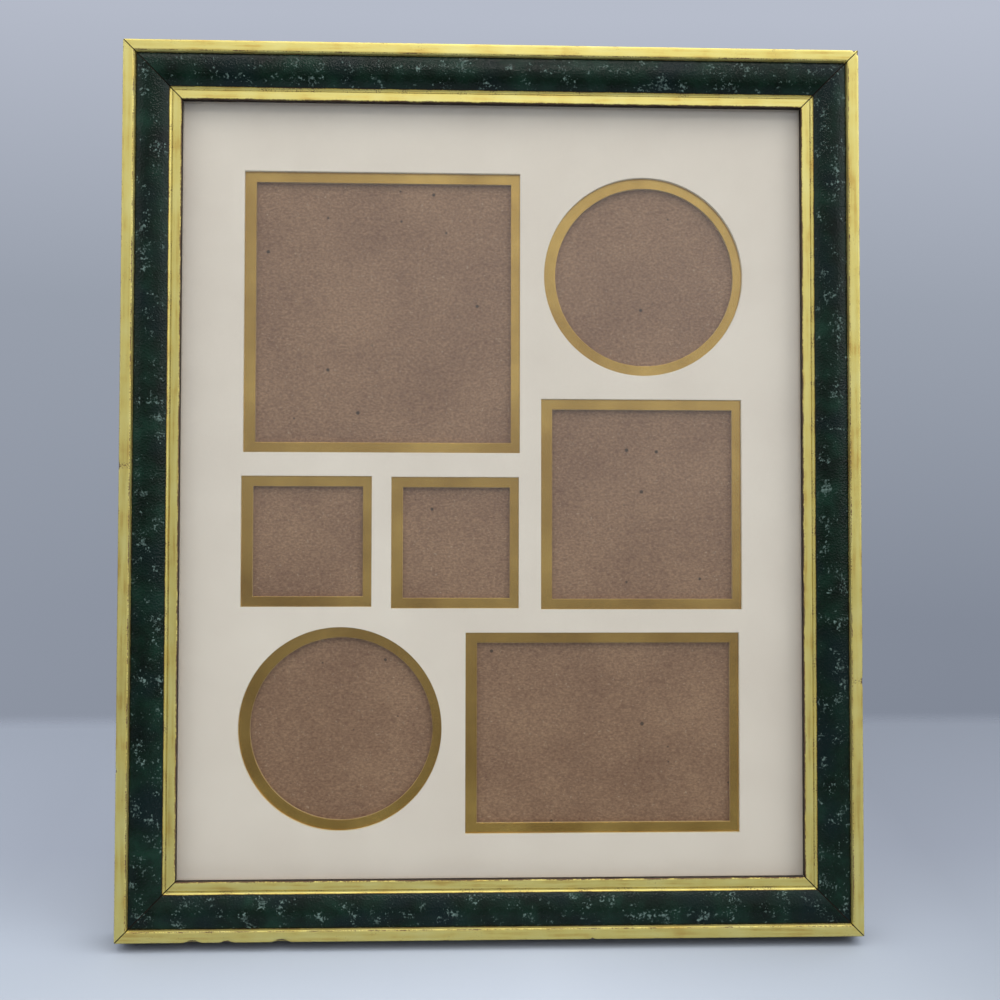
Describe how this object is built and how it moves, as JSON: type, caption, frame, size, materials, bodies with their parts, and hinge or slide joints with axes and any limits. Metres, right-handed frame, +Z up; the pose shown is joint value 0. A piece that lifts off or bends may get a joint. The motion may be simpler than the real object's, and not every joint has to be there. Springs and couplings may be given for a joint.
{
  "type": "collage photo frame",
  "caption": "Table-top collage photo frame: mitred gilt and green marbled moulding, glass, double mat with square and round windows, strut back.",
  "frame": {"origin": "on the table, under the middle of the object's bounding box", "axes": "+Z up, +Y away from the viewer towards the strut leg, +X to the viewer's right"},
  "size_m": [0.2334, 0.0894, 0.2781],
  "materials": {
    "gilt_moulding": "gold leaf foil and dark green marbled foil over wood, glossy, worn at the edges",
    "glass": "clear float glass",
    "cream_mat_board": "cream paper-faced mat board",
    "gold_mat_board": "satin gold paper-faced mat board",
    "grey_chipboard": "raw brown chipboard with flecks",
    "hardboard": "smooth dark hardboard",
    "brassed_steel": "brass-plated pressed steel",
    "bright_steel": "bright steel"
  },
  "bodies": {
    "frame": {"back_board": "hardboard", "board_rivets": "brassed_steel", "corner_v_nails": "bright_steel", "cream_mat": "cream_mat_board", "filler_board": "grey_chipboard", "glass": "glass", "gold_mat": "gold_mat_board", "hanger_nails": "brassed_steel", "hinge_fixed_leaf": "brassed_steel", "hinge_pin": "brassed_steel", "rail_bottom": "gilt_moulding", "rail_left": "gilt_moulding", "rail_right": "gilt_moulding", "rail_top": "gilt_moulding", "sawtooth_hanger": "brassed_steel", "turn_button_screws": "brassed_steel"},
    "leg": {"easel_leg": "hardboard", "hinge_moving_leaf": "brassed_steel", "leg_rivets": "brassed_steel"},
    "button_top_left": {"turn_button_top_left": "brassed_steel"},
    "button_top_right": {"turn_button_top_right": "brassed_steel"},
    "button_bottom_left": {"turn_button_bottom_left": "brassed_steel"},
    "button_bottom_right": {"turn_button_bottom_right": "brassed_steel"},
    "button_left": {"turn_button_left": "brassed_steel"},
    "button_right": {"turn_button_right": "brassed_steel"}
  },
  "joints": [
    {"name": "leg_hinge", "type": "hinge", "parent": "frame", "child": "leg", "pos_m": [0, 0.00677, 0.16787], "axis": [1, 0, 0], "range_deg": [-24, 0]},
    {"name": "button_top_left_turn", "type": "hinge", "parent": "frame", "child": "button_top_left", "pos_m": [-0.058, 0.02661, 0.26839], "axis": [0, 0.9781, -0.2079], "continuous": true},
    {"name": "button_top_right_turn", "type": "hinge", "parent": "frame", "child": "button_top_right", "pos_m": [0.058, 0.02661, 0.26839], "axis": [0, 0.9781, -0.2079], "continuous": true},
    {"name": "button_bottom_left_turn", "type": "hinge", "parent": "frame", "child": "button_bottom_left", "pos_m": [-0.058, -0.02903, 0.00664], "axis": [0, 0.9781, -0.2079], "continuous": true},
    {"name": "button_bottom_right_turn", "type": "hinge", "parent": "frame", "child": "button_bottom_right", "pos_m": [0.058, -0.02903, 0.00664], "axis": [0, 0.9781, -0.2079], "continuous": true},
    {"name": "button_left_turn", "type": "hinge", "parent": "frame", "child": "button_left", "pos_m": [-0.1098, -0.00121, 0.13751], "axis": [0, 0.9781, -0.2079], "continuous": true},
    {"name": "button_right_turn", "type": "hinge", "parent": "frame", "child": "button_right", "pos_m": [0.1098, -0.00121, 0.13751], "axis": [0, 0.9781, -0.2079], "continuous": true}
  ]
}
